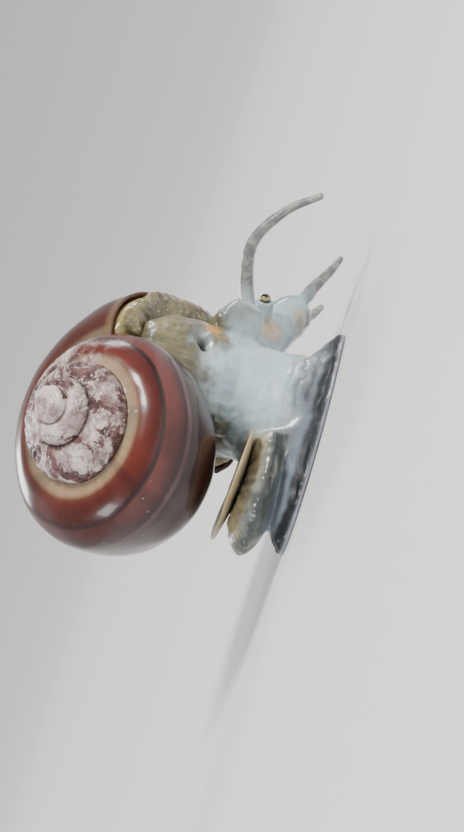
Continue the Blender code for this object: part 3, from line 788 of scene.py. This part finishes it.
def dress_skin(skin):
    """Folds, ruffled margin and the masks that colour the skin."""
    mesh = skin.data
    places = coordinates(mesh)
    outward = normals(mesh)
    x, y, z = (places / MM).T
    broad = noise_field(places, 5.0 * MM, 3, seed=5)
    fine = noise_field(places, 1.6 * MM, 1, seed=6)
    wrinkles = noise_field(places * WRINKLE_STRETCH, 2.2 * MM, 2, seed=11)
    thin = feelers(x, y, 24.0)
    sole = 1.0 - ramp01(z, 0.15, 0.6)
    body = (1.0 - thin) * (1.0 - sole)
    depth = mouth_depth(places)
    pit = near(places, *PIT)

    # Soft folds, ridges of the foot's flank, creases, frill of the lobe and ruffle of the margin
    upper_folds = ramp01(z, 6.0, 9.0) * (FOLD_HEIGHT + FOLD_HEIGHT * broad)
    folds = np.sin(depth * 2.6 + 4.5 * broad + 0.4 * y) * upper_folds
    pleats = ramp01(z, 2.0, 3.0) * (1.0 - ramp01(z, 5.0, 7.5)) * ramp01(y, -2.5, 1.0)
    ridge = np.sin(z * 4.2 + 5.0 * broad + 1.5 * wrinkles)
    folds += ridge * pleats * RIDGE_HEIGHT
    creases = -np.maximum(fine, 0.0) * 0.05 - np.maximum(broad, 0.0) * 0.16
    creases -= np.maximum(wrinkles, 0.0) * 0.10
    frill = np.sin(np.arctan2(y + 11.0, x + 0.5) * FRILL_WAVES + 4.0 * broad)
    folds += frill * ramp01(z, 4.5, 5.8) * ramp01(-y, 4.0, 6.0) * FRILL_HEIGHT
    ruffle = np.sin(np.arctan2(y, x * 1.9) * RUFFLE_WAVES + 5.0 * broad)
    ruffle *= RUFFLE_HEIGHT * (1.0 - ramp01(z, 1.0, 2.2))

    # Mantle over the neck with a raised hem, and the groove above the margin of the foot
    behind_head = ramp01(z, 10.0, 13.0) * (1.0 - ramp01(y, 11.0, 13.0))
    border = depth + 1.6 * broad + 0.8 * wrinkles
    hem = HEM_HEIGHT * np.exp(-((border - 8.7) / 0.8) ** 2)
    skirt = SKIRT_HEIGHT * (1.0 - ramp01(border, 8.8, 10.4)) + hem
    skirt *= behind_head * ramp01(depth, 0.5, 2.5)
    groove = -GROOVE_DEPTH * np.exp(-((z - 1.5 - 0.3 * broad) / 0.45) ** 2)
    relief = folds + creases + ruffle + skirt + groove - PIT_DEPTH * pit
    places += outward * (relief * MM * body)[:, None]

    # Last smoothing, more at the margin and in the crease below the shell
    places = relax(mesh, places, 6, body)
    margin = (1.0 - ramp01(z, 2.2, 4.0)) * ramp01(z, 0.15, 0.3) * (1.0 - thin)
    crease = near(places, *SHARP_CREASE)
    places = relax(mesh, places, 6, margin, keep_volume=False)
    places = relax(mesh, places, 24, crease * body, keep_volume=False)
    places[:, 2] = np.maximum(places[:, 2], 0.0)
    set_coordinates(mesh, places)
    shade_smooth(mesh)

    # Masks for the material; some paint shade: the dark rim's groove, the troughs of the ridges and the
    # pit
    rim = (1.0 - ramp01(z - 0.5 * broad, 1.9, 2.7)) * ramp01(z, 0.5, 0.75) * (1.0 - thin)
    mantle = (1.0 - ramp01(border, 8.2, 11.0)) * behind_head
    upper = ramp01(z, 10.0, 15.0) * ramp01(y, 9.0, 12.0) * (1.0 - ramp01(y, 14.0, 19.0) * 0.5)
    rear = (1.0 - ramp01(y, -5.0, -2.0)) * ramp01(z, 3.2, 4.4)
    streak = 1.0 - ramp01(np.abs((x + 0.4) / (2.2 + 0.06 * (y + 18))), 0.5, 1.6)
    streak *= ramp01(y, -12.0, -2.0) * (1.0 - ramp01(y, 8.0, 16.0))
    warm = [near(places, *patch) * strength for *patch, strength in WARM_PATCHES]
    masks = {
        # Dark rim of the foot, partly its own colour and partly painted shade in the groove above the
        # margin
        "dark_rim_and_shade": rim,
        # Painted shade in the troughs of the flank's ridges
        "trough_shade": pleats * (0.5 - 0.5 * ridge) ** 2,
        "edge": (1.0 - ramp01(z, 0.4, 0.65)) * (1.0 - thin),
        # Painted shade inside the carved pit
        "pit": pit,
        "hem": np.exp(-((border - 8.6) / 0.9) ** 2),
        "mantle": mantle * (1.0 - thin),
        "low": 1.0 - ramp01(z + 1.2 * broad, 2.5, 7.0),
        "sole": 1.0 - ramp01(z, 0.10, 0.35),
        "high": np.maximum(upper, 0.5 * ramp01(z, 19.0, 27.0)),
        "warm": np.maximum.reduce(warm),
        "feeler": thin,
        "lobe": rear,
        "lobe_rim": rear * ramp01(z + 0.6 * broad, 6.6, 7.8),
        "crescent": rear * np.exp(-((z - 5.4 - 0.8 * broad) / 0.9) ** 2),
        "streak": streak,
        "right_side": ramp01(x, 1.0, 8.0)}
    for name, values in masks.items():
        mask_attribute(mesh, name, values)


def lobe_colour(n, place, cloud, mottle):
    """Grey lobe behind the plate with a dark crescent and a pale, dotted rim."""
    colour = n.mix(n.step(cloud, 0.4, 0.6), tone(140, 142, 130), tone(92, 98, 94))
    colour = n.cover(colour, tone(46, 52, 52), "crescent", 0.88)
    colour = n.cover(colour, tone(174, 158, 122), "lobe_rim", 0.85)
    dot = n.times(n.dots(place, 620.0, 0.26, 0.14), n.step(mottle, 0.50, 0.56))
    return n.mix(n.times(n.times(dot, n.attribute("lobe_rim")), 0.7), colour, tone(52, 48, 40))


def cloak_colour(n, place, cloud):
    """Olive mantle with dark and yellowish veins and a dark hem."""
    colour = n.mix(n.step(cloud, 0.34, 0.64), tone(118, 108, 66), tone(76, 71, 44))
    veins = n.noise(n.scaled(place, (1.0, 2.6, 0.6), (0.5, 0.3, 0.0)), 420.0, 4.0, 0.65)
    colour = n.mix(n.step(veins, 0.48, 0.66, 0.0, 0.7), colour, tone(58, 56, 46))
    colour = n.mix(n.step(veins, 0.46, 0.34, 0.0, 0.5), colour, tone(150, 138, 88))
    return n.cover(colour, tone(70, 68, 60), "hem", 0.5)


def sole_colour(n, mottle):
    """Blue sole with a beige streak, darker on its right side."""
    colour = n.mix(n.attribute("right_side"), tone(92, 110, 124), tone(46, 68, 88))
    colour = n.cover(colour, tone(166, 160, 132), "streak")
    return n.mix(n.times(n.step(mottle, 0.4, 0.7), 0.12), colour, tone(150, 160, 168))


def flesh_material():
    """Wet grey-blue skin with olive mantle, charcoal margin with painted shade in its groove, painted
    shade in the troughs of the flank's ridges and in the pit, grey lobe and blue sole.
    """
    n = Nodes("skin_wet")
    place = n.place()
    cloud = n.noise(place, 180.0, 4.0)
    mottle = n.noise(place, 700.0, 4.0, 0.6)
    web = n.cells(n.scaled(place, (1.0, 1.0, 1.6)), 900.0, "DISTANCE_TO_EDGE")
    crack = n.step(web, 0.10, 0.0)
    pale = n.mix(n.step(cloud, 0.35, 0.65), tone(186, 208, 215), tone(154, 176, 187))
    lilac = n.mix(n.step(cloud, 0.40, 0.62), tone(126, 130, 142), tone(88, 92, 100))
    olive = n.mix(n.step(mottle, 0.35, 0.65), tone(132, 130, 108), tone(104, 108, 98))
    feeler = n.mix(n.step(mottle, 0.4, 0.6), tone(148, 150, 146), tone(112, 114, 116))

    colour = n.cover(pale, lilac, "low", 0.8)
    # Painted shade in the troughs of the flank's ridges
    colour = n.cover(colour, tone(84, 86, 98), "trough_shade", 0.65)
    colour = n.cover(colour, olive, "high", 0.55)
    colour = n.cover(colour, lobe_colour(n, place, cloud, mottle), "lobe")
    colour = n.cover(colour, cloak_colour(n, place, cloud), "mantle", 0.95)
    colour = n.mix(n.times(n.step(mottle, 0.52, 0.72), 0.16), colour, tone(70, 78, 88))
    colour = n.mix(n.times(crack, 0.10), colour, tone(80, 90, 100))
    warm = n.times(n.attribute("warm"), n.step(n.noise(place, 620.0, 3.0), 0.34, 0.56))
    colour = n.mix(n.times(warm, 0.9), colour, tone(196, 146, 72))
    colour = n.cover(colour, feeler, "feeler")
    fleck = n.times(n.dots(place, 1300.0, 0.24, 0.12), n.step(cloud, 0.52, 0.62))
    colour = n.mix(n.times(fleck, 0.3), colour, tone(40, 44, 50))
    colour = n.cover(colour, tone(150, 142, 146), "edge", 0.7)
    # Dark rim of the foot, partly its own colour and partly painted shade in its groove
    colour = n.cover(colour, tone(17, 20, 25), "dark_rim_and_shade", 0.96)
    # Painted shade inside the pit
    colour = n.cover(colour, tone(20, 19, 19), "pit", 0.97)
    colour = n.cover(colour, sole_colour(n, mottle), "sole")

    rough = n.plus(n.times(mottle, 0.22), n.times(n.attribute("dark_rim_and_shade"), 0.15))
    rough = n.plus(rough, 0.20)
    normal = n.bump(n.plus(n.times(crack, -0.35), n.times(mottle, 0.8)), 0.22, 0.22 * MM)
    dull = n.math("MAXIMUM", n.attribute("dark_rim_and_shade"), n.attribute("pit"))
    wet = n.math("SUBTRACT", 0.6, n.times(dull, 0.5))
    return n.finish(colour, rough, Normal=normal, Coat_Weight=wet, Coat_Roughness=0.10, IOR=1.4,
                    Subsurface_Weight=0.18, Subsurface_Scale=0.0015)


# Mantle edge
def reach_lip(mesh, places, shell):
    """Moves of the mantle edge that bring it out to the inside of the lip."""
    tree = BVHTree.FromPolygons([v.co for v in shell.data.vertices],
                                [tuple(p.vertices) for p in shell.data.polygons])
    outward = normals(mesh)
    depth = mouth_depth(places)
    plane = np.array(shell_placement().inverted())[1, :3]
    band = ramp01(depth, -3.5, -1.5) * (1.0 - ramp01(depth, 0.9, 2.6))
    middle = places[np.abs(depth) < 1.0].mean(axis=0)
    moves = np.zeros_like(places)
    for k in np.nonzero(band > 0.0)[0]:
        away = places[k] - middle
        away -= plane * (away @ plane)
        away /= np.linalg.norm(away)
        facing = max(outward[k] @ away, 0.0)
        start = places[k] + plane * (depth[k] - min(depth[k], LIP_RAY_DEPTH)) * MM
        hit, _, _, distance = tree.ray_cast(Vector(start), Vector(away), LIP_REACH)
        if hit is not None:
            moves[k] = away * max(distance - LIP_GAP, 0.0) * band[k] * min(facing * 2.0, 1.0)
    return relax(mesh, moves, 12, keep_volume=False)


def make_collar(shell):
    """The mantle edge that fills the shell's mouth, wrinkled toward the lip."""
    collar = one_skin("mantle_edge", ["mantle_collar"])
    mesh = collar.data
    places = relax(mesh, coordinates(mesh), 24)
    set_coordinates(mesh, places)
    places += reach_lip(mesh, places, shell)
    set_coordinates(mesh, places)
    local = in_shell_frame(places)
    depth = -local[:, 1]
    broad = noise_field(places, 3.0 * MM, 3, seed=8)
    fine = noise_field(places, 0.9 * MM, 2, seed=9)
    free = ramp01(depth, 0.1, 0.9)
    pleat = np.sin(np.arctan2(local[:, 2] + 26.0, local[:, 0] - 9.0) * PLEAT_WAVES + 4.0 * broad)
    wave = np.sin(depth * 4.2 + 1.6 * broad)
    move = PLEAT_HEIGHT * pleat * ramp01(depth, 0.3, 1.5) + WAVE_HEIGHT * wave
    move -= 0.16 * np.maximum(broad, 0)
    move -= 0.02 * np.maximum(fine, 0)
    places += normals(mesh) * (move * free * MM)[:, None]
    set_coordinates(mesh, places)
    shade_smooth(mesh)
    mask_attribute(mesh, "rim", 1.0 - ramp01(depth, 0.2, 1.6))
    # Painted shade in the troughs of the pleats and waves
    mask_attribute(mesh, "furrow_shade", free * np.clip(0.35 - 0.5 * wave - 0.35 * pleat, 0.0, 1.0))
    return collar


def collar_material():
    """Translucent olive-grey mantle with yellowish edge, painted shade in its wrinkles and painted glints
    of wet specks.
    """
    n = Nodes("mantle_wet")
    place = n.place()
    cloud = n.noise(place, 240.0, 4.0, 0.6)
    mottle = n.noise(place, 900.0, 4.0, 0.65)
    web = n.step(n.cells(place, 750.0, "DISTANCE_TO_EDGE"), 0.12, 0.0)
    colour = n.mix(n.step(cloud, 0.34, 0.66), tone(142, 132, 90), tone(88, 84, 60))
    # Painted shade in the troughs of the pleats and waves
    colour = n.cover(colour, tone(66, 62, 46), "furrow_shade", 0.5)
    colour = n.cover(colour, tone(172, 154, 96), "rim", 0.7)
    colour = n.mix(n.times(n.step(mottle, 0.50, 0.70), 0.22), colour, tone(72, 74, 64))
    colour = n.mix(n.times(web, 0.15), colour, tone(56, 58, 54))
    # Painted glints: small pale dots standing for wet specks
    colour = n.mix(n.times(n.dots(place, 1200.0, 0.22, 0.10), 0.5), colour, tone(206, 200, 176))
    rough = n.plus(n.times(mottle, 0.25), 0.16)
    normal = n.bump(n.plus(n.times(web, -0.4), mottle), 0.22, 0.2 * MM)
    return n.finish(colour, rough, Normal=normal, Coat_Weight=0.7, Coat_Roughness=0.06, IOR=1.4,
                    Subsurface_Weight=0.35, Subsurface_Scale=0.003)


# Horny plate
def plate_vertex(side, out, angle):
    """A vertex of the plate's upper or lower side, from its share of the way out and its angle."""
    half_length = 0.5 * OPERCULUM_LENGTH
    half_width = 0.5 * OPERCULUM_WIDTH
    x = half_length * math.cos(angle)
    y = half_width * math.sin(angle) * (1.0 + 0.18 * math.cos(angle))
    x = x * out + NUCLEUS[0] * MM * (1.0 - out)
    y = y * out + NUCLEUS[1] * MM * (1.0 - out)
    reach = math.hypot(x / half_length, y / half_width)
    lift = OPERCULUM_DISH * reach ** 2 * 0.95
    ring = RING_HEIGHT * math.sin(out * 70.0 + 2.0 * math.sin(out * 11.0)) if side > 0 else 0.0
    ripple = RIPPLE_HEIGHT * noise.noise(Vector((x, y, side * MM)) / RIPPLE_SIZE)
    edge = 1.0 - max(0.0, (out - 0.90) / 0.10) ** 2 * 0.75
    half = 0.5 * OPERCULUM_THICKNESS * edge * (0.55 + 0.45 * (1.0 - out))
    return x, y, lift - 0.5 * OPERCULUM_THICKNESS + side * half + ring + ripple


def make_plate():
    """The horny plate with growth rings round a nucleus off its middle."""
    vertices = []
    for side in (1, -1):
        for k in range(PLATE_RINGS + 1):
            out = max(k / PLATE_RINGS, 0.004)
            vertices += [plate_vertex(side, out, math.tau * j / PLATE_AROUND) for j in range(PLATE_AROUND)]
    rings = [range(start, start + PLATE_AROUND) for start in range(0, len(vertices), PLATE_AROUND)]
    upper = rings[:PLATE_RINGS + 1]
    lower = rings[PLATE_RINGS + 1:]
    faces = tube_faces(upper) + [face[::-1] for face in tube_faces(lower)]
    faces += ring_faces(upper[-1], lower[-1])
    faces += [tuple(reversed(upper[0])), tuple(lower[0])]
    plate = new_object("horny_plate", vertices, faces)
    mesh = plate.data
    mask_attribute(mesh, "ring", np.tile(np.repeat(np.linspace(0, 1, PLATE_RINGS + 1), PLATE_AROUND), 2))
    rework(mesh, face_outward)
    mesh.transform(OPERCULUM_PLACE)
    shade_smooth(mesh)
    return plate


def plate_material():
    """Horn with growth rings: beige rim, grey-brown middle with a darker crescent."""
    n = Nodes("horn")
    place = n.place()
    ring = n.attribute("ring")
    band = n.plus(ring, n.swing(n.noise(place, 300.0, 3.0), 0.10))
    colour = n.bands(band, [
        (0.0, tone(70, 52, 40)), (0.20, tone(112, 92, 70)), (0.40, tone(128, 118, 98)),
        (0.56, tone(70, 70, 68)), (0.70, tone(92, 92, 86)), (0.80, tone(138, 124, 96)),
        (1.0, tone(178, 160, 124))])
    fine = n.noise(n.join(n.times(ring, 60.0), 0.0), 1.0, 3.0)
    colour = n.mix(n.step(fine, 0.52, 0.62, 0.0, 0.55), colour, tone(66, 46, 30))
    spot = n.times(n.dots(place, 480.0, 0.24, 0.14), n.step(n.noise(place, 200.0), 0.50, 0.60))
    colour = n.mix(n.times(spot, 0.8), colour, tone(30, 26, 24))
    rough = n.plus(n.times(fine, 0.2), 0.32)
    normal = n.bump(fine, 0.5, 0.15 * MM)
    return n.finish(colour, rough, Normal=normal, Coat_Weight=0.35, Coat_Roughness=0.15, IOR=1.5)


# Eyes
def make_eye(side):
    """A small wet eyeball with its pupil set outward, ringed with gold."""
    low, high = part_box(f"eye_{side}")
    centre = (low + high) / 2
    radius = min(high - low) / 2
    sign = -1.0 if side == "left" else 1.0
    outward = Vector((sign * EYE_LOOK[0], EYE_LOOK[1], EYE_LOOK[2])).normalized()
    across = outward.cross(Vector((0, 0, 1))).normalized()
    upper = across.cross(outward)
    vertices = []
    from_pupil = []
    for k in range(EYE_RINGS + 1):
        angle = math.pi * k / EYE_RINGS
        size = radius * (1.0 + PUPIL_BULGE * math.exp(-((angle / 0.5) ** 2)))
        ring = max(math.sin(angle), 0.01)
        for j in range(EYE_AROUND):
            turn = math.tau * j / EYE_AROUND
            around = across * math.cos(turn) + upper * math.sin(turn)
            vertices.append(centre + size * (outward * math.cos(angle) + around * ring))
            from_pupil.append(angle / math.pi)
    rings = [range(start, start + EYE_AROUND) for start in range(0, len(vertices), EYE_AROUND)]
    faces = [tuple(rings[0]), tuple(reversed(rings[-1]))] + tube_faces(rings)
    eye = new_object(f"eyeball_{side}", vertices, faces)
    mask_attribute(eye.data, "from_pupil", from_pupil)
    rework(eye.data, face_outward)
    shade_smooth(eye.data)
    return eye


def eye_material():
    """Black pupil in a flecked gold ring, under a wet skin."""
    n = Nodes("eye_wet")
    fleck = n.noise(n.place(), 2600.0, 3.0)
    wavy = n.plus(n.attribute("from_pupil"), n.swing(fleck, 0.06))
    colour = n.bands(wavy, [
        (0.0, tone(6, 6, 8)), (0.27, tone(10, 9, 10)), (0.31, tone(150, 118, 62)),
        (0.40, tone(186, 160, 100)), (0.47, tone(90, 84, 66)), (0.60, tone(60, 62, 60))])
    rough = n.plus(n.times(fleck, 0.06), 0.05)
    return n.finish(colour, rough, Coat_Weight=1.0, Coat_Roughness=0.02, IOR=1.4)


# Floor, light and camera
def make_floor():
    """A pale floor that sweeps up far out on all sides."""
    profile = [(FLOOR_INNER, 0.0), (FLOOR_FLAT, 0.0)]
    for k in range(1, FLOOR_BEND_STEPS + 1):
        angle = math.pi / 2 * k / FLOOR_BEND_STEPS
        profile.append((FLOOR_FLAT + FLOOR_BEND * math.sin(angle), FLOOR_BEND * (1.0 - math.cos(angle))))
    profile.append((FLOOR_FLAT + FLOOR_BEND, FLOOR_TOP))
    vertices = [(0.0, 0.0, 0.0)]
    for radius, height in profile:
        for j in range(FLOOR_AROUND):
            angle = math.tau * j / FLOOR_AROUND
            vertices.append((radius * math.cos(angle), radius * math.sin(angle), height))
    rings = [range(start, start + FLOOR_AROUND) for start in range(1, len(vertices), FLOOR_AROUND)]
    faces = [(0, rings[0][j], rings[0][(j + 1) % FLOOR_AROUND]) for j in range(FLOOR_AROUND)]
    floor = new_object("floor", vertices, faces + tube_faces(rings))
    shade_smooth(floor.data)
    n = Nodes("floor_plain")
    grain = n.noise(n.place(), 400.0, 2.0)
    colour = n.mix(grain, (0.70, 0.69, 0.68), (0.74, 0.73, 0.72))
    floor.data.materials.append(n.finish(colour, FLOOR_ROUGHNESS))


def make_lights():
    """The sky and square soft lights that face the snail."""
    world = bpy.data.worlds.new("studio")
    bpy.context.scene.world = world
    world.use_nodes = True
    background = world.node_tree.nodes["Background"]
    background.inputs["Color"].default_value = SKY_COLOUR
    background.inputs["Strength"].default_value = SKY_STRENGTH
    for name, place, size, power, colour in LIGHTS:
        data = bpy.data.lights.new(name, "AREA")
        data.size = size
        data.energy = power
        data.color = colour
        lamp = scene_object(name, data)
        lamp.location = place
        lamp.rotation_mode = "QUATERNION"
        lamp.rotation_quaternion = (Vector(place) - LIGHT_AIM).to_track_quat("Z", "Y")


def make_camera():
    """The camera, rolled to its side about the line of sight."""
    a = math.radians(CAMERA_AZIMUTH)
    e = math.radians(CAMERA_ELEVATION)
    r = math.radians(CAMERA_ROLL)
    back = Vector((math.sin(a) * math.cos(e), -math.cos(a) * math.cos(e), math.sin(e)))
    right = Vector((math.cos(a), math.sin(a), 0.0))
    up = back.cross(right)
    turned_right = right * math.cos(r) - up * math.sin(r)
    turned_up = right * math.sin(r) + up * math.cos(r)
    data = bpy.data.cameras.new("camera")
    data.sensor_fit = "AUTO"
    data.sensor_width = SENSOR
    data.lens = SENSOR * CAMERA_DISTANCE / VIEW_HEIGHT
    data.clip_start = CAMERA_NEAR
    data.clip_end = CAMERA_FAR
    camera = scene_object("camera", data)
    camera.matrix_world = (Matrix.Translation(CAMERA_AIM + back * CAMERA_DISTANCE)
                           @ Matrix((turned_right, turned_up, back)).transposed().to_4x4())
    bpy.context.scene.camera = camera


def settle(piece, material, slot, *members):
    """Gives a piece its material, the nodes that it stands for and its body; its slot is not used."""
    piece.data.materials.clear()
    piece.data.materials.append(material)
    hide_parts(*members)
    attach(piece, "root")


make_camera()
make_lights()
make_floor()
shell_surface = make_shell()
settle(shell_surface, shell_material(), "shell", "shell")
skin = make_skin()
dress_skin(skin)
settle(skin, flesh_material(), "flesh", *FLESH)
settle(make_collar(shell_surface), collar_material(), "collar", "mantle_collar")
settle(make_plate(), plate_material(), "horn", "operculum")
eye_surface = eye_material()
for side in ("left", "right"):
    settle(make_eye(side), eye_surface, "eye", f"eye_{side}")

bpy.context.view_layer.update()
